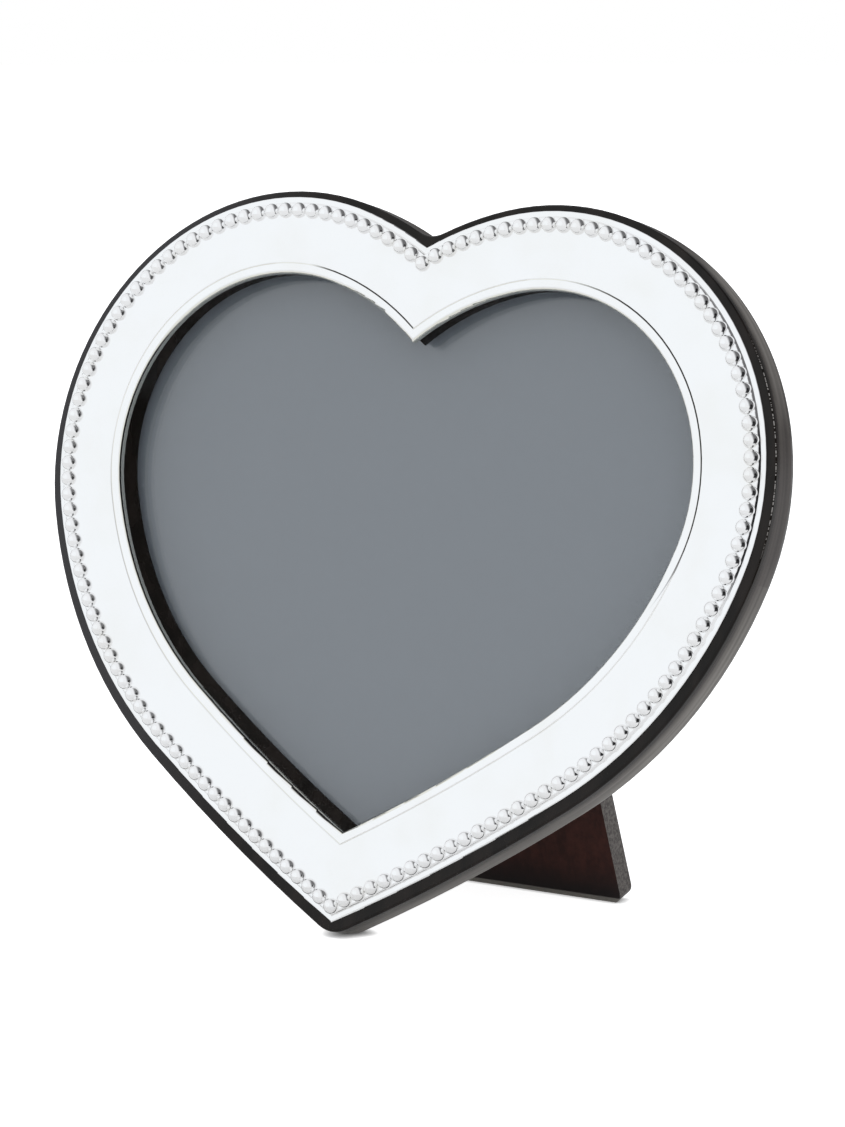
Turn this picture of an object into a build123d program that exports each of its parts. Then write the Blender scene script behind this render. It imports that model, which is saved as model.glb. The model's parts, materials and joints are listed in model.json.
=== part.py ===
from build123d import *
import math
import os

# Heart shaped photo frame: a pressed silver facing on a lacquered wooden heart, with glass, a card,
# a back panel held by turn buttons, and a wide hinged leg. Lengths in millimetres, angles in degrees.
#
# The heart is drawn lying flat: X to the right, Y up from the tip of the silver, Z out of the front,
# with Z = 0 on the wood under the silver. It is leaned back and stood on the floor at the end.

# Stance
lean_angle = 14.7
leg_spread_angle = 29.5
tip_flat_depth = 0.3
foot_flat_depth = 0.2

# Edge of the silver, one half of the heart, from the tip round to the notch
tip_slope_angle = 27.9
flank_radius = 376.0
flank_sweep_angle = 7.85
side_radius = 78.8
side_sweep_angle = 37.8
lobe_radius = 47.6
lobe_sweep_angle = 120.8
dip_radius = 62.4

# Silver facing
facing_width = 14.2
facing_height = 0.95
sheet_thickness = 0.4
flange_width = 1.0
flange_round = 0.25
rim_slope_angle = 60.0
rim_slope_round = 0.3
lip_round = 0.7
lip_depth = 0.5
groove_inset = 12.3
groove_width = 0.3
groove_depth = 0.15

# Pressed beads
bead_inset = 2.6
bead_pitch = 3.0
bead_radius = 1.47
bead_rise = 1.4

# Wooden heart
timber_margin = 1.7
facing_lift = 0.5
timber_tip_round = 6.0
timber_notch_round = 6.0
timber_back_round = 3.5
timber_front_round = 0.5
sight_overlap = 0.55
sight_lift = 0.9
sight_bevel = 3.0
sight_depth = 3.8
ledge_width = 3.2
land_clearance = 0.15
router_radius = 3.0

# What lies in the rebate
pane_clearance = 0.3
panel_clearance = 0.2
glass_thickness = 1.8
card_gap = 0.02
card_thickness = 0.6
panel_thickness = 2.8
pane_corner_round = 3.4

# Leg
hinge_height = 78.0
leg_thickness = 4.5
leg_foot_width = 59.0
leg_head_width = 45.5
leg_heel = 7.5
leg_corner_round = 2.0
leg_edge_round = 0.4
stop_gap = 0.03

# Butt hinge of the leg
hinge_width = 30.0
leaf_height = 10.0
leaf_thickness = 0.8
knuckle_radius = 1.2
knuckle_count = 5
knuckle_gap = 0.1
hinge_pin_radius = 0.7
running_clearance = 0.05

# Screws of the hinge leaves
leaf_screw_count = 3
leaf_screw_margin = 4.5
leaf_screw_head_radius = 1.9
leaf_screw_shank_radius = 0.9
leaf_screw_length = 2.6

# Turn buttons and their screws
button_inset = 6.3
button_boss_radius = 3.3
button_tip_radius = 2.1
button_reach = 9.5
button_thickness = 0.8
button_edge_round = 0.2
lower_button_angle = 48.0
upper_button_angle = 140.0
button_screw_shank_radius = 1.4
button_screw_head_radius = 2.6
button_screw_head_height = 1.3
button_screw_length = 6.5

# Screw details
screw_fit_clearance = 0.05
slot_width = 0.5
slot_depth = 0.4

# How far cuts and sweeps run past what they meet
overrun = 5.0
overrun_angle = 5.0

# Places that follow from the sizes above
rim_width = flange_width + (facing_height - sheet_thickness) / math.tan(math.radians(rim_slope_angle))
sight_inset = facing_width + sight_overlap
rebate_inset = sight_inset - ledge_width
timber_depth = sight_depth + glass_thickness + card_gap + card_thickness + panel_thickness
pin_stand = knuckle_radius + running_clearance
leg_rake_angle = leg_spread_angle - lean_angle


def outward(angle):
    """Direction from an arc's centre to the edge, where the edge runs at this angle to the right."""
    return Vector(math.sin(math.radians(angle)), -math.cos(math.radians(angle)))


def heart_arcs(inset=0):
    """Centre, radius, start and end angle of the right half's four arcs, moved in by the inset."""
    centre = Vector(0, 0)
    radius = 0
    end = tip_slope_angle
    arcs = []
    for next_radius, sweep in ((flank_radius, flank_sweep_angle), (side_radius, side_sweep_angle),
                               (lobe_radius, lobe_sweep_angle), (dip_radius, 0)):
        centre += outward(end) * (radius - next_radius)
        radius = next_radius
        arcs.append((centre, radius - inset, end, end + sweep))
        end += sweep
    tip_angle = math.degrees(math.asin(-arcs[0][0].X / arcs[0][1]))
    notch_angle = 180 + math.degrees(math.asin(arcs[-1][0].X / arcs[-1][1]))
    arcs[0] = (*arcs[0][:2], tip_angle, arcs[0][3])
    arcs[-1] = (*arcs[-1][:3], notch_angle)
    return arcs


def heart_face(inset, tip_round=0, notch_round=0):
    """The heart as a flat face, with its tip and notch rounded where a radius is given."""
    right = [CenterArc(centre, radius, start - 90, end - start)
             for centre, radius, start, end in heart_arcs(inset)]
    left = [edge.mirror(Plane.YZ) for edge in right]
    face = make_face(Curve() + right + left)
    if notch_round:
        middle = sorted(face.vertices(), key=lambda v: abs(v.X))[:2]
        face = fillet(max(middle, key=lambda v: v.Y), notch_round)
    if tip_round:
        face = fillet(min(face.vertices(), key=lambda v: v.Y), tip_round)
    return face


def heart_slab(inset, top, thickness, tip_round=0, notch_round=0):
    """A heart shaped board whose upper face is at the given height."""
    face = heart_face(inset, tip_round, notch_round)
    return Pos(0, 0, top - thickness) * extrude(face, thickness, dir=(0, 0, 1))


def edge_point(angle, inset):
    """The point of the moved-in edge where the edge runs at this angle."""
    for centre, radius, start, end in heart_arcs(inset):
        if angle <= end:
            break
    return centre + outward(angle) * radius


def bead_places():
    """Points spaced evenly along the bead line, with one at the tip and one at the notch."""
    arcs = heart_arcs(bead_inset)
    lengths = [radius * math.radians(end - start) for _, radius, start, end in arcs]
    count = round(sum(lengths) / bead_pitch)
    places = []
    for number in range(count + 1):
        run = sum(lengths) * number / count
        for (centre, radius, start, _), length in zip(arcs, lengths):
            if run <= length:
                break
            run -= length
        run = min(run, length) if (centre, radius) == arcs[-1][:2] else run
        places.append(centre + outward(start + math.degrees(run / radius)) * radius)
    return places + [Vector(-p.X, p.Y) for p in places[1:-1]]


def moulding(section, width):
    """Carry a section once round the heart. It is drawn with X = minus the inset and Y = the height."""
    half = Part()
    last_centre = heart_arcs()[-1][0]
    for centre, radius, start, end in heart_arcs():
        if centre == last_centre:
            end = heart_arcs(width)[-1][3] + overrun_angle
        across = outward(start)
        plane = Plane(origin=centre, x_dir=across, z_dir=across.cross(Vector(0, 0, 1)))
        half += revolve(plane * Pos(radius, 0) * section, Axis(centre, (0, 0, 1)), end - start)
    half = split(half, Plane.YZ)
    return half + mirror(half, Plane.YZ)


def round_corner(face, corner, radius):
    """Round the corner of a flat face that is nearest to a point."""
    return fillet(face.vertices().sort_by_distance(corner)[0], radius)


def make_facing():
    """Pressed sheet: flange, raised band with an engraved line, turned down lip, and the beads."""
    top = facing_height
    under = top - sheet_thickness
    lip_inside = sheet_thickness - facing_width
    fold = sheet_thickness * math.tan(math.radians(rim_slope_angle / 2))
    section = make_face(Polyline(
        (0, 0), (0, sheet_thickness), (-flange_width, sheet_thickness), (-rim_width, top),
        (groove_width / 2 - groove_inset, top), (-groove_inset, top - groove_depth),
        (-groove_width / 2 - groove_inset, top), (-facing_width, top), (-facing_width, -lip_depth),
        (lip_inside, -lip_depth), (lip_inside, under), (-rim_width - fold, under),
        (-flange_width - fold, 0), close=True))
    section = round_corner(section, (0, sheet_thickness), flange_round)
    section = round_corner(section, (-rim_width, top), rim_slope_round)
    section = round_corner(section, (-facing_width, top), lip_round)
    section = round_corner(section, (lip_inside, under), lip_round - sheet_thickness)
    sheet = moulding(section, facing_width)
    centre_height = top + bead_rise - bead_radius
    bead = Pos(0, 0, centre_height) * Sphere(bead_radius)
    bead = split(bead, Plane.XY.offset(under))
    return sheet + [Pos(place.X, place.Y, 0) * bead for place in bead_places()]


def make_timber():
    """Wooden heart with a rounded back edge, a land under the silver, a bevelled sight and the rebate."""
    body = heart_slab(-timber_margin, 0, timber_depth, timber_tip_round, timber_notch_round)
    body = fillet(body.faces().sort_by(Axis.Z)[0].edges(), timber_back_round)
    body = fillet(body.faces().sort_by(Axis.Z)[-1].edges(), timber_front_round)
    body = Pos(0, -facing_lift, 0) * body
    land_height = facing_height - sheet_thickness
    land = heart_slab(rim_width + sheet_thickness, land_height, land_height)
    lip_room_inset = facing_width - lip_round - land_clearance
    lip_room = heart_slab(lip_room_inset, overrun, overrun + lip_depth)
    bevel_foot = -lip_depth - sight_bevel
    bevel = loft([Pos(0, sight_lift, bevel_foot) * heart_face(sight_inset),
                  Pos(0, 0, -lip_depth) * heart_face(lip_room_inset)], ruled=True)
    sight = heart_slab(sight_inset, bevel_foot, timber_depth)
    rebate = heart_slab(rebate_inset, -sight_depth, timber_depth, router_radius)
    opening = lip_room + bevel + Pos(0, sight_lift, 0) * (sight + rebate)
    return body + land - opening - button_screw_holes()


def rebate_board(inset, top, thickness):
    """A heart that drops into the rebate from behind."""
    return Pos(0, sight_lift, 0) * heart_slab(inset, top, thickness, pane_corner_round)


def make_glass():
    return rebate_board(rebate_inset + pane_clearance, -sight_depth, glass_thickness)


def make_card():
    top = -sight_depth - glass_thickness - card_gap
    return rebate_board(rebate_inset + pane_clearance, top, card_thickness)


def make_panel():
    top = -timber_depth + panel_thickness
    board = rebate_board(rebate_inset + panel_clearance, top, panel_thickness)
    return board - leaf_screw_holes()


def button_frames():
    """Name and place of each turn button: X points in over the panel, Z out of the back."""
    frames = {}
    for height, angle in (("lower", lower_button_angle), ("upper", upper_button_angle)):
        pivot = edge_point(angle, button_inset)
        inward = outward(angle) * -1
        for side, sign in (("right", 1), ("left", -1)):
            origin = (sign * pivot.X, pivot.Y - facing_lift, -timber_depth)
            x_dir = (sign * inward.X, inward.Y, 0)
            frames[f"{height}_{side}"] = Plane(origin=origin, x_dir=x_dir, z_dir=(0, 0, -1))
    return frames


def make_button():
    """Flat tear-drop plate, drawn round its pivot with the arm along X."""
    boss = Circle(button_boss_radius)
    tip = Pos(button_reach - button_tip_radius, 0) * Circle(button_tip_radius)
    plate = extrude(make_hull(boss.edges() + tip.edges()), button_thickness)
    plate = fillet(plate.faces().sort_by(Axis.Z)[-1].edges(), button_edge_round)
    bore = Cylinder(button_screw_shank_radius + running_clearance, overrun)
    return Pos(0, 0, running_clearance) * (plate - bore)


def button_screw():
    """Round headed screw, its head just clear of the button."""
    head_base = button_thickness + running_clearance * 2
    head = Pos(0, 0, head_base) * extrude(Circle(button_screw_head_radius), button_screw_head_height)
    head = fillet(head.faces().sort_by(Axis.Z)[-1].edges(), button_screw_head_height / 2)
    slot = Pos(0, 0, head_base + button_screw_head_height) * Box(
        button_screw_head_radius * 3, slot_width, slot_depth * 2)
    shank_length = head_base + button_screw_length
    shank = Pos(0, 0, head_base - shank_length / 2) * Cylinder(button_screw_shank_radius, shank_length)
    return head + shank - slot


def button_screw_holes():
    depth = button_screw_length + screw_fit_clearance
    radius = button_screw_shank_radius + screw_fit_clearance
    hole = Pos(0, 0, -depth / 2) * Cylinder(radius, depth)
    return [frame * hole for frame in button_frames().values()]


def pin_height():
    """Height of the hinge pin's axis behind the front of the wood."""
    return -timber_depth - pin_stand


def leaf_screw_frames():
    """Where the screws of a hinge leaf go: each Z out of the panel's back, through the leaf."""
    step = (hinge_width - leaf_screw_margin * 2) / (leaf_screw_count - 1)
    drop = hinge_height - (knuckle_radius + leaf_height) / 2
    return [Plane(origin=(leaf_screw_margin - hinge_width / 2 + step * number, drop, -timber_depth),
                  x_dir=(1, 0, 0), z_dir=(0, 0, -1)) for number in range(leaf_screw_count)]


def leaf_screw(clearance=0):
    """Countersunk screw, or with a clearance the room for it, flush with the face of a leaf."""
    head_radius = leaf_screw_head_radius + clearance
    shank_radius = leaf_screw_shank_radius + clearance
    cone_height = head_radius - shank_radius
    shank_length = leaf_screw_length + clearance
    cone = Pos(0, 0, leaf_thickness - cone_height / 2) * Cone(shank_radius, head_radius, cone_height)
    shank = Pos(0, 0, leaf_thickness - shank_length / 2) * Cylinder(shank_radius, shank_length)
    return cone + shank


def slotted_leaf_screw():
    slot = Pos(0, 0, leaf_thickness) * Box(leaf_screw_head_radius * 3, slot_width, slot_depth * 2)
    return leaf_screw() - slot


def leaf_screw_holes():
    return [frame * leaf_screw(screw_fit_clearance) for frame in leaf_screw_frames()]


def make_leaf(first_knuckle):
    """Hinge leaf flat on the back panel, with every second knuckle from the given one on."""
    pitch = hinge_width / knuckle_count
    lie = Pos(0, hinge_height, pin_height()) * Rot(0, 90, 0)
    plate = Pos(0, hinge_height - leaf_height / 2, -timber_depth - leaf_thickness / 2) * Box(
        hinge_width, leaf_height, leaf_thickness)
    knuckles = Part()
    for number in range(knuckle_count):
        middle = Pos((number + 0.5) * pitch - hinge_width / 2, 0, 0) * lie
        if number % 2 == first_knuckle:
            knuckles += middle * Cylinder(knuckle_radius, pitch - knuckle_gap)
        else:
            plate -= middle * Cylinder(knuckle_radius + knuckle_gap, pitch + knuckle_gap)
    bore = lie * Cylinder(hinge_pin_radius + running_clearance, hinge_width + overrun)
    return plate + knuckles - bore - leaf_screw_holes()


def on_leg(shape):
    """Turn something from the panel's side of the hinge to the leg's side, with the leg folded flat."""
    return Pos(0, 0, pin_height() * 2) * mirror(shape, Plane.XY)


def open_leg(shape):
    """Swing a piece of the folded leg out about the hinge pin."""
    pin = Axis((0, hinge_height, pin_height()), (1, 0, 0))
    return shape.rotate(pin, leg_spread_angle)


def lean(shape):
    """Lean the flat heart back, about the tip of the silver."""
    slope = math.radians(lean_angle)
    return Plane(origin=(0, 0, 0), x_dir=(1, 0, 0), z_dir=(0, -math.cos(slope), math.sin(slope))) * shape


def below(floor):
    """Room under the floor, to plane the feet off with."""
    room = hinge_height * 2
    return Pos(0, 0, floor - room / 2) * Box(room, room, room)


def make_leg(floor):
    """Tapered board, its heel planed to stop on the panel and its foot planed to the floor."""
    rake = math.radians(leg_rake_angle)
    slope = math.radians(lean_angle)
    pin_rise = hinge_height * math.cos(slope) + pin_height() * math.sin(slope)
    reach = (pin_rise - floor + foot_flat_depth + pin_stand * math.sin(rake)) / math.cos(rake)
    head = hinge_height + leg_heel
    foot = hinge_height - reach
    outline = make_face(Polyline((-leg_foot_width / 2, foot), (leg_foot_width / 2, foot),
                                 (leg_head_width / 2, head), (-leg_head_width / 2, head), close=True))
    outline = fillet(outline.vertices(), leg_corner_round)
    front = pin_height() - pin_stand
    board = Pos(0, 0, front - leg_thickness) * extrude(outline, leg_thickness, dir=(0, 0, 1))
    board = fillet(board.faces().sort_by(Axis.Z)[0].edges(), leg_edge_round)
    board = open_leg(board - on_leg(Part() + leaf_screw_holes()))
    room = leg_heel * 2
    wall = Pos(0, head, -timber_depth - stop_gap + room / 2) * Box(leg_foot_width, room * 2, room)
    return lean(board - wall) - below(floor)


def make_pieces():
    """Every piece by name, leaned back, with the tip of the silver at the origin."""
    timber = lean(make_timber())
    floor = timber.bounding_box().min.Z + tip_flat_depth
    pieces = {
        "silver_facing": lean(make_facing()),
        "timber_frame": timber - below(floor),
        "glass_pane": lean(make_glass()),
        "photo_card": lean(make_card()),
        "back_panel": lean(make_panel()),
        "easel_leg": make_leg(floor),
        "panel_hinge_leaf": lean(make_leaf(0)),
        "leg_hinge_leaf": lean(open_leg(on_leg(make_leaf(1)))),
        "hinge_pin": lean(Pos(0, hinge_height, pin_height()) * Rot(0, 90, 0)
                          * Cylinder(hinge_pin_radius, hinge_width)),
    }
    screws = Part() + [frame * slotted_leaf_screw() for frame in leaf_screw_frames()]
    pieces["panel_leaf_screws"] = lean(screws)
    pieces["leg_leaf_screws"] = lean(open_leg(on_leg(screws)))
    for name, frame in button_frames().items():
        pieces[f"turn_button_{name}"] = lean(frame * make_button())
        pieces[f"button_screw_{name}"] = lean(frame * button_screw())
    return pieces, floor


pieces, floor = make_pieces()
boxes = [piece.bounding_box() for piece in pieces.values()]
front = min(box.min.Y for box in boxes)
rear = max(box.max.Y for box in boxes)
origin = Vector(0, (front + rear) / 2, floor)
os.makedirs("parts", exist_ok=True)
for name, piece in pieces.items():
    moved = Pos(-origin.X, -origin.Y, -origin.Z) * piece
    export_step(moved, os.path.join("parts", f"{name}.step"))

print("silver tip", -origin)
print("hinge pin", lean(Pos(0, hinge_height, pin_height())).position - origin)
for name, frame in button_frames().items():
    print("button", name, lean(Pos(*frame.origin)).position - origin)
for name in ("timber_frame", "easel_leg"):
    print("foot of", name, pieces[name].faces().sort_by(Axis.Z)[0].center() - origin)
print("silver heart", heart_face(0).bounding_box().size)
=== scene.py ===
import json
import math

import bpy
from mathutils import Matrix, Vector

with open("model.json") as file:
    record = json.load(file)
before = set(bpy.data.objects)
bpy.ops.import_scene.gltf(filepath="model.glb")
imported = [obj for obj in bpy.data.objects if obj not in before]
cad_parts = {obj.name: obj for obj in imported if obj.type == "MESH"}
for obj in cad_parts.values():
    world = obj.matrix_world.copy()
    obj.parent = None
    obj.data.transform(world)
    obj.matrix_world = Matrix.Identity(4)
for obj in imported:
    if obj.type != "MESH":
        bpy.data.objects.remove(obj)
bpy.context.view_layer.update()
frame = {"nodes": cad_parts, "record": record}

# Lengths and places are in metres, and smooth changes are given as the two values they run between
MM = 0.001
RIGHT = Vector((1, 0, 0))
UP = Vector((0, 0, 1))

# The heart leans back: FRONT points out of its face, and RISE up along it
LEAN = math.radians(14.7)
FRONT = Vector((0, -math.cos(LEAN), math.sin(LEAN)))
RISE = Vector((0, math.sin(LEAN), math.cos(LEAN)))
SILVER_TIP = Vector((0, -26.87, 2.79)) * MM
# A point inside the heart: faces of its outer edge look away from it, those of the opening to it
HEART_MIDDLE = Vector((0, -8, 65)) * MM
LOOKS_OUT = (-0.002, 0.002)
LOOKS_IN = (-0.004, -0.001)

# Camera: millimetres of lens, metres, and degrees to the right of the front and above the floor
CAMERA_LENS = 145.1
CAMERA_TARGET = Vector((0.01996, -0.02779, 0.06944))
CAMERA_DISTANCE = 0.7859
CAMERA_AZIMUTH = 33.53
CAMERA_ELEVATION = 9.20


def colour(red, green, blue):
    return (red, green, blue, 1.0)


def compass(azimuth, elevation):
    """Direction at an azimuth to the right of the frame's front, and an elevation, in degrees."""
    across, height = math.radians(azimuth), math.radians(elevation)
    return Vector((math.sin(across) * math.cos(height), -math.cos(across) * math.cos(height),
                   math.sin(height)))


class Tree:
    """A node tree that is built by adding nodes with their inputs."""

    def __init__(self, owner):
        owner.use_nodes = True
        self.tree = owner.node_tree
        self.tree.nodes.clear()

    def feed(self, socket, value):
        """Link a socket to another's output, or set it to a plain value."""
        if isinstance(value, bpy.types.NodeSocket):
            self.tree.links.new(value, socket)
        else:
            socket.default_value = value

    def add(self, kind, inputs=(), **settings):
        node = self.tree.nodes.new(kind)
        for name, value in settings.items():
            setattr(node, name, value)
        for name, value in dict(inputs).items():
            self.feed(node.inputs[name], value)
        return node

    def add_in_order(self, kind, values, **settings):
        """Add a node whose inputs are given in their order."""
        node = self.add(kind, **settings)
        for socket, value in zip(node.inputs, values):
            self.feed(socket, value)
        return node

    # Numbers and vectors

    def math(self, operation, *values):
        return self.add_in_order("ShaderNodeMath", values, operation=operation).outputs[0]

    def product(self, *values):
        total = values[0]
        for value in values[1:]:
            total = self.math("MULTIPLY", total, value)
        return total

    def vectors(self, operation, *values):
        return self.add_in_order("ShaderNodeVectorMath", values, operation=operation).outputs

    def dot(self, vector, direction):
        return self.vectors("DOT_PRODUCT", vector, direction)["Value"]

    def beyond(self, vector, origin):
        """A place as seen from an origin."""
        return self.vectors("SUBTRACT", vector, origin)["Vector"]

    def length(self, vector):
        return self.vectors("LENGTH", vector)["Value"]

    def heading(self, vector, direction):
        """Cosine of the angle from a vector to a direction."""
        return self.math("DIVIDE", self.dot(vector, direction), self.length(vector))

    def step(self, value, low, high, start=0.0, end=1.0):
        """A smooth step from start to end while the value goes from low to high."""
        node = self.add("ShaderNodeMapRange", interpolation_type="SMOOTHSTEP", inputs={
            "Value": value, "From Min": low, "From Max": high, "To Min": start, "To Max": end})
        return node.outputs["Result"]

    def drop(self, value, low, high):
        """A smooth step down from one to nought."""
        return self.step(value, low, high, 1.0, 0.0)

    def band(self, value, low, high, fade):
        """One between low and high and nought elsewhere, with a fade inside each end."""
        return self.product(self.step(value, low, low + fade), self.drop(value, high - fade, high))

    def ray(self, *kinds):
        """One for rays of any of these kinds, and nought for the others."""
        path = self.add("ShaderNodeLightPath")
        total = path.outputs[kinds[0]]
        for kind in kinds[1:]:
            total = self.math("MAXIMUM", total, path.outputs[kind])
        return total

    # Places on the object

    def place(self):
        return self.add("ShaderNodeTexCoord").outputs["Object"]

    def normal(self):
        return self.add("ShaderNodeTexCoord").outputs["Normal"]

    def before_front(self, place):
        """Distance out of the wood's front face, and below nought behind it."""
        return self.math("SUBTRACT", self.dot(place, FRONT), SILVER_TIP.dot(FRONT))

    def outwards(self, place, normal):
        """Above nought on faces that look out of the heart, and below on those that look in."""
        return self.dot(normal, self.beyond(place, HEART_MIDDLE))

    # Patterns and colours

    def noise(self, vector, scale, detail=3.0, roughness=0.5):
        node = self.add("ShaderNodeTexNoise", {
            "Vector": vector, "Scale": scale, "Detail": detail, "Roughness": roughness})
        return node.outputs["Fac"]

    def grain(self, place, scales, detail, roughness=0.5):
        """Noise with its own scale along each axis."""
        node = self.add("ShaderNodeMapping", {"Vector": place, "Scale": scales})
        return self.noise(node.outputs["Vector"], 1.0, detail, roughness)

    def mix(self, factor, first, second):
        node = self.add("ShaderNodeMix", data_type="RGBA")
        for index, value in ((0, factor), (6, first), (7, second)):
            self.feed(node.inputs[index], value)
        return node.outputs[2]

    def bump(self, height, strength, distance):
        node = self.add("ShaderNodeBump", {
            "Height": height, "Strength": strength, "Distance": distance})
        return node.outputs["Normal"]

    # Shaders

    def principled(self, **inputs):
        names = {name.replace("_", " "): value for name, value in inputs.items()}
        return self.add("ShaderNodeBsdfPrincipled", names)

    def blend(self, factor, first, second):
        """Mix two shaders by a factor."""
        shaders = (factor, first.outputs[0], second.outputs[0])
        return self.add_in_order("ShaderNodeMixShader", shaders)

    def finish(self, shader, kind="ShaderNodeOutputMaterial"):
        self.tree.links.new(shader.outputs[0], self.add(kind).inputs["Surface"])


def new_material(name):
    material = bpy.data.materials.new(name)
    return material, Tree(material)


# Silver, with heights above the wood's front
BAND_TOP = 0.9 * MM
LINE_REACH = (-0.16 * MM, 0.12 * MM)
LINE_FADE = 0.04 * MM
HALF_START = (0.0, 0.3 * MM)
# Arcs where the engraved line is blackened: centre across and up the front, radius, direction of
# the middle of the dark part in degrees above the right, and the cosines that it fades between
DARK_ARCS = (
    (27.62 * MM, 82.27 * MM, 35.3 * MM, 25.0, (0.45, 0.8)),
    (-31.29 * MM, 67.93 * MM, 50.1 * MM, 64.5, (0.95, 0.985)),
)
LIP_TOP = (0.8 * MM, 0.9 * MM)
# Painted dark reflection inside the left flank of the lip: the heights it spans, its fade, and the
# way that flank faces
LIP_REFLECTION_BOTTOM = 0.36 * MM
LIP_REFLECTION_TOP = 0.76 * MM
LIP_REFLECTION_FADE = 0.08 * MM
LIP_REFLECTION_SIDE = Vector((0.943, 0.0, 0.333))

SILVER_CLEAN = colour(0.955, 0.955, 0.955)
SILVER_DULL = colour(0.93, 0.925, 0.91)
SILVER_LIP = colour(0.87, 0.865, 0.79)
LINE_BLACK = colour(0.07, 0.065, 0.06)
# Colour of the painted dark reflection inside the lip's left flank
LIP_DARK_REFLECTION = colour(0.05, 0.048, 0.05)


def blackened_line(tree, place, across, up, radius, angle, fade):
    """One on the dark part of the engraved line that follows an arc, and nought elsewhere."""
    middle = SILVER_TIP + RIGHT * across + RISE * up + FRONT * BAND_TOP
    spoke = tree.beyond(place, middle)
    line = tree.band(tree.length(spoke), radius + LINE_REACH[0], radius + LINE_REACH[1], LINE_FADE)
    turn = math.radians(angle)
    toward = tree.heading(spoke, RIGHT * math.cos(turn) + RISE * math.sin(turn))
    same_half = tree.dot(place, RIGHT * math.copysign(1.0, across))
    return tree.product(line, tree.step(toward, *fade), tree.step(same_half, *HALF_START))


def silver_material():
    """Polished sheet, faintly wavy, dull in patches, with a dark stain in its engraved line and a
    painted dark reflection inside the left flank of its lip.
    """
    material, tree = new_material("silver_sheet")
    place = tree.place()
    normal = tree.normal()
    dull = tree.noise(place, 90.0, 4.0)
    tone = tree.mix(tree.step(dull, 0.4, 0.8), SILVER_CLEAN, SILVER_DULL)
    for arc in DARK_ARCS:
        tone = tree.mix(blackened_line(tree, place, *arc), tone, LINE_BLACK)

    height = tree.before_front(place)
    inward = tree.drop(tree.outwards(place, normal), *LOOKS_IN)
    lip = tree.product(tree.drop(height, *LIP_TOP), inward)
    tone = tree.mix(lip, tone, SILVER_LIP)
    # Painted dark reflection: a dark line inside the lip's left flank
    dark_reflection = tree.band(height, LIP_REFLECTION_BOTTOM, LIP_REFLECTION_TOP, LIP_REFLECTION_FADE)
    dark_reflection = tree.product(dark_reflection, tree.step(tree.dot(normal, LIP_REFLECTION_SIDE), 0.4, 0.6), inward)
    tone = tree.mix(dark_reflection, tone, LIP_DARK_REFLECTION)

    tree.finish(tree.principled(
        Base_Color=tone, Metallic=1.0, Roughness=tree.step(dull, 0.35, 0.75, 0.035, 0.09),
        Normal=tree.bump(tree.noise(place, 220.0, 2.0), 0.25, 0.06 * MM)))
    return material


# Timber, with depths below nought behind its front face
SIDE_START = (-2.3 * MM, -0.3 * MM)
# Depths where the painted highlight on the side fades in
SIDE_HIGHLIGHT_START = (-4.5 * MM, -1.6 * MM)
LEFT_MARGIN = (20 * MM, 60 * MM)
STREAKS_ACROSS = 1100.0
STREAKS_ALONG = 25.0
# Way that the faces with the upper painted highlight look
SIDE_HIGHLIGHT_UPPER_RIGHT = Vector((0.77, 0.0, 0.64))
# Painted glints dotted along the front arris at the right: their depths, fade, and reach across and
# up
GLINTS_BACK = -0.34 * MM
GLINTS_FRONT = -0.14 * MM
GLINTS_FADE = 0.04 * MM
GLINTS_RIGHT = (66 * MM, 74 * MM)
GLINTS_BOTTOM = (70 * MM, 82 * MM)
GLINTS_TOP = (106 * MM, 113 * MM)

LACQUER = colour(0.004, 0.003, 0.002), colour(0.014, 0.01, 0.008)
LACQUER_LEFT = colour(0.043, 0.041, 0.043)
LACQUER_BEHIND = colour(0.016, 0.011, 0.01), colour(0.03, 0.022, 0.019)
# Side tones: the grey brown is stain together with painted sheen, and the light tone is a painted
# highlight
SIDE_STAIN_AND_SHEEN = colour(0.105, 0.094, 0.084), colour(0.15, 0.136, 0.122)
SIDE_CLOUD = colour(0.095, 0.082, 0.076)
SIDE_STREAK = colour(0.05, 0.045, 0.042)
SIDE_HIGHLIGHT = colour(0.32, 0.3, 0.275)
# Colour of the painted glints on the front arris
ARRIS_GLINT = colour(0.4, 0.38, 0.36)


def side_stain_and_sheen(tree, place, normal, depth, grain):
    """Colour of the wood's side: a grey brown stain lightened by painted sheen, clouded, streaked
    along the edge, with a painted highlight on faces that look down and on those that look to the
    upper right.
    """
    tone = tree.mix(tree.step(grain, 0.35, 0.7), *SIDE_STAIN_AND_SHEEN)
    cloud = tree.noise(place, 70.0)
    tone = tree.mix(tree.step(cloud, 0.35, 0.7), tone, SIDE_CLOUD)
    layers = tree.add("ShaderNodeCombineXYZ", {
        "X": tree.product(depth, STREAKS_ACROSS),
        "Y": tree.product(tree.dot(place, -RIGHT), STREAKS_ALONG),
        "Z": tree.product(tree.dot(place, UP), STREAKS_ALONG)})
    streaks = tree.noise(layers.outputs[0], 1.0)
    tone = tree.mix(tree.step(streaks, 0.4, 0.65, 0.0, 0.55), tone, SIDE_STREAK)
    below = tree.step(tree.dot(normal, -UP), 0.15, 0.5)
    upper_right = tree.step(tree.dot(normal, SIDE_HIGHLIGHT_UPPER_RIGHT), 0.9, 0.98)
    # Painted highlight on faces that look down and on those that look to the upper right
    light = tree.product(
        tree.math("MAXIMUM", below, upper_right), tree.drop(depth, *SIDE_HIGHLIGHT_START),
        tree.step(streaks, 0.35, 0.6, 1.0, 0.45))
    return tree.mix(light, tone, SIDE_HIGHLIGHT)


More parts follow.
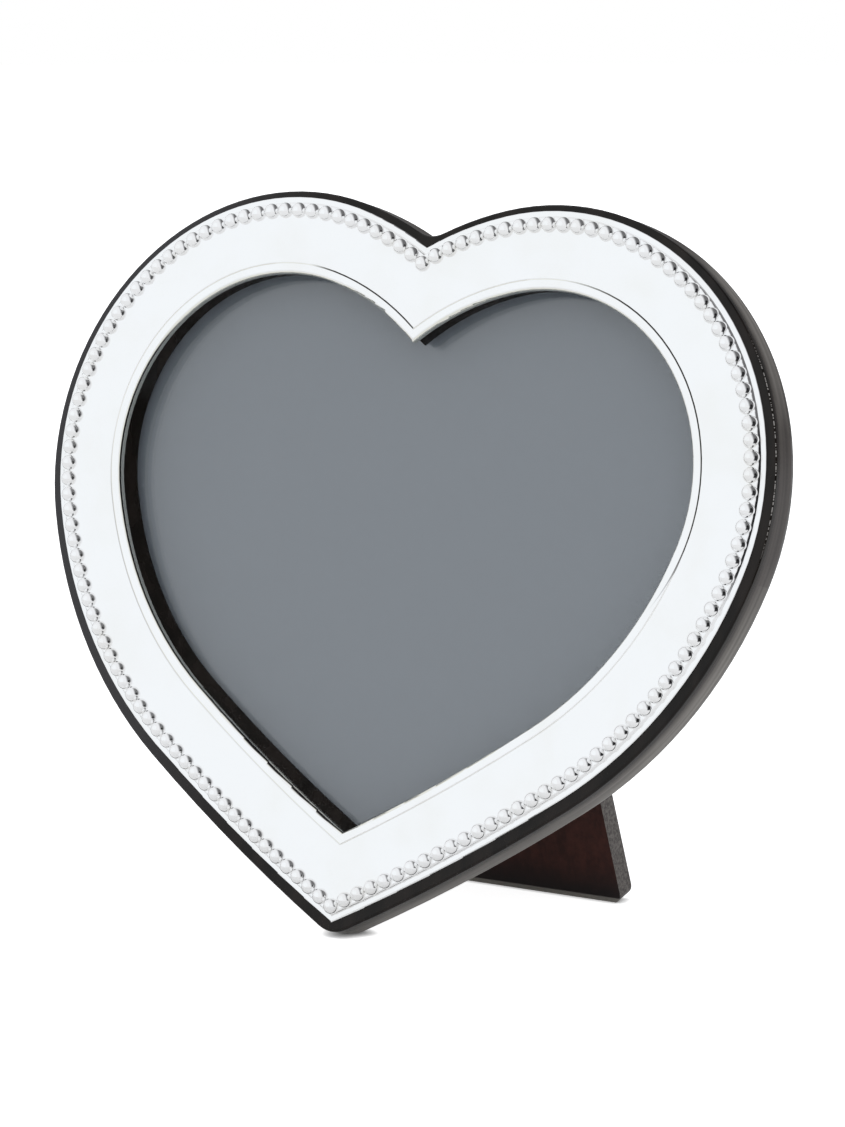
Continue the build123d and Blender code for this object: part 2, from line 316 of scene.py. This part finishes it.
def arris_glints(tree, place, depth):
    """One on the painted glints dotted along the front arris at the right, and nought elsewhere."""
    rightward, height = tree.dot(place, RIGHT), tree.dot(place, UP)
    glints = tree.step(tree.grain(place, (100.0, 100.0, 3600.0), 0.0), 0.46, 0.54)
    return tree.product(
        tree.band(depth, GLINTS_BACK, GLINTS_FRONT, GLINTS_FADE), tree.step(rightward, *GLINTS_RIGHT),
        tree.step(height, *GLINTS_BOTTOM), tree.drop(height, *GLINTS_TOP), glints)


def timber_material():
    """Black lacquer in front and behind, a grey brown side with painted sheen and highlights, and
    painted glints dotted along the front arris.
    """
    material, tree = new_material("timber_lacquer")
    place = tree.place()
    normal = tree.normal()
    depth = tree.before_front(place)
    outside = tree.step(tree.outwards(place, normal), *LOOKS_OUT)
    side = tree.product(tree.drop(depth, *SIDE_START), outside)
    grain = tree.grain(place, (260.0, 260.0, 60.0), 4.0)

    tone = tree.mix(tree.step(grain, 0.3, 0.7), *LACQUER)
    left = tree.product(tree.step(tree.dot(place, -RIGHT), *LEFT_MARGIN), outside)
    tone = tree.mix(left, tone, LACQUER_LEFT)
    # The side's colour, with its painted sheen and highlights
    tone = tree.mix(side, tone, side_stain_and_sheen(tree, place, normal, depth, grain))
    behind = tree.step(tree.dot(normal, -FRONT), 0.6, 0.9)
    tone = tree.mix(behind, tone, tree.mix(tree.step(grain, 0.3, 0.7), *LACQUER_BEHIND))
    # Painted glints along the front arris
    tone = tree.mix(arris_glints(tree, place, depth), tone, ARRIS_GLINT)

    tree.finish(tree.principled(
        Base_Color=tone, Roughness=tree.math("MULTIPLY_ADD", side, 0.14, 0.2),
        Specular_IOR_Level=0.22, Normal=tree.bump(tree.noise(place, 3000.0, 2.0), 0.2, 0.04 * MM)))
    return material


GLASS_TINT = colour(0.99, 0.995, 1.0)
GLASS_SHADE = colour(0.95, 0.955, 0.96)


def glass_material():
    """Clear glass with a few specks of dust, which lets light through to the card behind."""
    material, tree = new_material("clear_glass")
    dust = tree.noise(tree.place(), 900.0, 1.0)
    glass = tree.principled(
        Base_Color=GLASS_TINT, Roughness=tree.step(dust, 0.72, 0.8, 0.0, 0.25),
        Transmission_Weight=1.0, IOR=1.5)
    clear = tree.add("ShaderNodeBsdfTransparent", {"Color": GLASS_SHADE})
    tree.finish(tree.blend(tree.ray("Is Shadow Ray", "Is Diffuse Ray"), glass, clear))
    return material


SLATE = colour(0.199, 0.221, 0.245), colour(0.206, 0.229, 0.253)


def card_material():
    """Smooth coated slate card with a slight fleck."""
    material, tree = new_material("slate_card")
    fleck = tree.noise(tree.place(), 1500.0)
    tone = tree.mix(tree.step(fleck, 0.3, 0.7), *SLATE)
    tree.finish(tree.principled(Base_Color=tone, Roughness=0.5, Specular_IOR_Level=0.2))
    return material


PANEL_BROWN = colour(0.03, 0.014, 0.01), colour(0.075, 0.035, 0.024)
BOARD_RELIEF = 0.1 * MM


def panel_material():
    """Brown lacquered board with a mottled grain up its length."""
    material, tree = new_material("panel_lacquer")
    place = tree.place()
    grain = tree.grain(place, (500.0, 500.0, 40.0), 6.0, 0.6)
    mottle = tree.product(grain, tree.noise(place, 320.0, 5.0, 0.65))
    tone = tree.mix(tree.step(mottle, 0.12, 0.4), *PANEL_BROWN)
    tree.finish(tree.principled(
        Base_Color=tone, Roughness=0.4, Normal=tree.bump(mottle, 0.4, BOARD_RELIEF)))
    return material


# Leg, with heights above the floor
# Heights over which painted shade darkens the leg's front face towards the floor
FOOT_SHADE = (0.0, 9 * MM)
FOOT_WEAR = (0.7 * MM, 1.0 * MM)

LEG_BROWN = colour(0.036, 0.007, 0.004), colour(0.076, 0.02, 0.013)
LEG_FOOT_SHADE = colour(0.006, 0.003, 0.003)
LEG_WORN = colour(0.3, 0.28, 0.25)
LEG_EDGE = colour(0.075, 0.066, 0.06), colour(0.2, 0.18, 0.165)


def leg_material():
    """Reddish brown lacquer on the faces, a rubbed grey bare edge, painted shade low on the front
    face, and a worn foot.
    """
    material, tree = new_material("leg_lacquer")
    place = tree.place()
    normal = tree.normal()
    height = tree.dot(place, UP)
    mottle = tree.noise(place, 420.0, 5.0, 0.65)
    grain = tree.grain(place, (500.0, 500.0, 60.0), 6.0, 0.6)
    face = tree.mix(tree.step(tree.product(grain, mottle), 0.12, 0.4), *LEG_BROWN)
    in_front = tree.step(tree.dot(normal, Vector((0, -1, 0))), 0.3, 0.6)
    # Painted shade: the front face darker towards the floor
    face = tree.mix(tree.product(tree.drop(height, *FOOT_SHADE), in_front), face, LEG_FOOT_SHADE)
    face = tree.mix(tree.drop(height, *FOOT_WEAR), face, LEG_WORN)

    edge = tree.mix(tree.step(tree.noise(place, 1800.0, 3.0, 0.7), 0.35, 0.65), *LEG_EDGE)
    sideways = tree.math("ABSOLUTE", tree.dot(normal, RIGHT))
    tone = tree.mix(tree.step(sideways, 0.5, 0.8), face, edge)
    tree.finish(tree.principled(
        Base_Color=tone, Roughness=0.42, Specular_IOR_Level=0.3,
        Normal=tree.bump(mottle, 0.4, BOARD_RELIEF)))
    return material


BRASS_BRIGHT = colour(0.76, 0.58, 0.27)
BRASS_BROWN = colour(0.5, 0.35, 0.15)


def brass_material():
    """Plain brass, a little browned, with fine marks from handling."""
    material, tree = new_material("brass_fittings")
    place = tree.place()
    brown = tree.noise(place, 350.0, 4.0)
    tone = tree.mix(tree.step(brown, 0.35, 0.7), BRASS_BRIGHT, BRASS_BROWN)
    marks = tree.grain(place, (9000.0, 600.0, 600.0), 2.0)
    tree.finish(tree.principled(
        Base_Color=tone, Metallic=1.0, Roughness=tree.step(brown, 0.3, 0.8, 0.2, 0.42),
        Normal=tree.bump(marks, 0.15, 0.04 * MM)))
    return material


# Floor: its glow for the camera clips it to white, and its glow for reflections only lifts it
FLOOR_RADIUS = 3.0
FLOOR_TONES = colour(0.865, 0.863, 0.857), colour(0.88, 0.878, 0.872)
FLOOR_GLOW_SEEN = 0.9
FLOOR_GLOW_MIRRORED = 0.16
CONTACT_SHADOW = 1.6 * MM
# The dark curtain's foot on the floor, which only reflections show
CURTAIN_AZIMUTH = 94
CURTAIN_FOOT_WIDTH = (0.84, 0.95)
CURTAIN_FOOT_START = (0.17, 0.26)
CURTAIN_FOOT = colour(0.03, 0.03, 0.032)


def floor_material():
    """Pale floor that clips to white for the camera, except close beside what stands on it."""
    material, tree = new_material("pale_floor")
    place = tree.place()
    diffuse = tree.add("ShaderNodeBsdfDiffuse", {
        "Color": tree.mix(tree.noise(place, 400.0, 2.0), *FLOOR_TONES)})
    nook = tree.add("ShaderNodeAmbientOcclusion", {"Distance": CONTACT_SHADOW}, samples=8)
    seen = tree.product(tree.ray("Is Camera Ray"), FLOOR_GLOW_SEEN, nook.outputs["AO"])
    mirrored = tree.ray("Is Glossy Ray", "Is Transmission Ray")
    glow = tree.add("ShaderNodeEmission", {
        "Strength": tree.math("MULTIPLY_ADD", mirrored, FLOOR_GLOW_MIRRORED, seen)})
    both = tree.add_in_order("ShaderNodeAddShader", (diffuse.outputs[0], glow.outputs[0]))

    toward = tree.heading(place, compass(CURTAIN_AZIMUTH, 0))
    curtain = tree.product(
        tree.step(toward, *CURTAIN_FOOT_WIDTH), tree.step(tree.length(place), *CURTAIN_FOOT_START),
        tree.ray("Is Glossy Ray"))
    tree.finish(tree.blend(curtain, both, tree.add("ShaderNodeEmission", {"Color": CURTAIN_FOOT})))
    return material


# Studio: azimuth and elevation of each direction in degrees, and the cosines that it fades between
SOFT_LIGHT, SOFT_LIGHT_WIDTH = (-34, 15), (0.7, 0.9)
UNLIT_SIDE, UNLIT_WIDTH = (142, 8), (-0.05, 0.5)
CURTAIN, CURTAIN_WIDTH = (CURTAIN_AZIMUTH, 6), (0.9, 0.96)
# The unlit side darkens reflections in full, and the light that it gives by this share
UNLIT_SHARE = 0.4

STUDIO = colour(0.885, 0.9, 0.925), colour(0.94, 0.972, 1.0)
STUDIO_UNLIT = colour(0.16, 0.16, 0.165)
STUDIO_CURTAIN = colour(0.015, 0.015, 0.016)
WHITE = colour(1.0, 1.0, 1.0)


def make_world():
    """A bright studio with a large soft light to the left, unlit behind and to the far right."""
    world = bpy.data.worlds.new("studio")
    bpy.context.scene.world = world
    tree = Tree(world)
    toward = tree.add("ShaderNodeTexCoord").outputs["Generated"]
    mirrored = tree.ray("Is Glossy Ray")
    light = tree.step(tree.dot(toward, compass(*SOFT_LIGHT)), *SOFT_LIGHT_WIDTH)
    tone = tree.mix(light, *STUDIO)
    unlit = tree.step(tree.dot(toward, compass(*UNLIT_SIDE)), *UNLIT_WIDTH)
    unlit = tree.product(unlit, tree.math("MULTIPLY_ADD", mirrored, 1 - UNLIT_SHARE, UNLIT_SHARE))
    tone = tree.mix(unlit, tone, STUDIO_UNLIT)
    curtain = tree.product(tree.step(tree.dot(toward, compass(*CURTAIN)), *CURTAIN_WIDTH), mirrored)
    tone = tree.mix(curtain, tone, STUDIO_CURTAIN)
    tone = tree.mix(tree.ray("Is Camera Ray", "Is Transmission Ray"), tone, WHITE)
    tree.finish(tree.add("ShaderNodeBackground", {"Color": tone}), "ShaderNodeOutputWorld")


def make_camera():
    data = bpy.data.cameras.new("camera")
    data.lens = CAMERA_LENS
    camera = bpy.data.objects.new("camera", data)
    bpy.context.scene.collection.objects.link(camera)
    back = compass(CAMERA_AZIMUTH, CAMERA_ELEVATION)
    camera.location = CAMERA_TARGET + back * CAMERA_DISTANCE
    camera.rotation_euler = back.to_track_quat("Z", "Y").to_euler()
    bpy.context.scene.camera = camera


def make_floor():
    bpy.ops.mesh.primitive_circle_add(vertices=96, radius=FLOOR_RADIUS, fill_type="NGON")
    floor = bpy.context.object
    floor.name = "floor"
    floor.data.materials.append(floor_material())


def dress():
    """Give every CAD node its finish."""
    finishes = {
        "silver": silver_material(),
        "timber": timber_material(),
        "glass": glass_material(),
        "card": card_material(),
        "panel": panel_material(),
        "leg": leg_material(),
        "brass": brass_material(),
    }
    slots = {part["node"]: part["material_slot"] for part in frame["record"]["subparts"]}
    for name, node in frame["nodes"].items():
        node.data.materials.clear()
        node.data.materials.append(finishes[slots[name]])


bpy.context.scene.view_settings.view_transform = "Standard"
make_camera()
make_world()
make_floor()
dress()
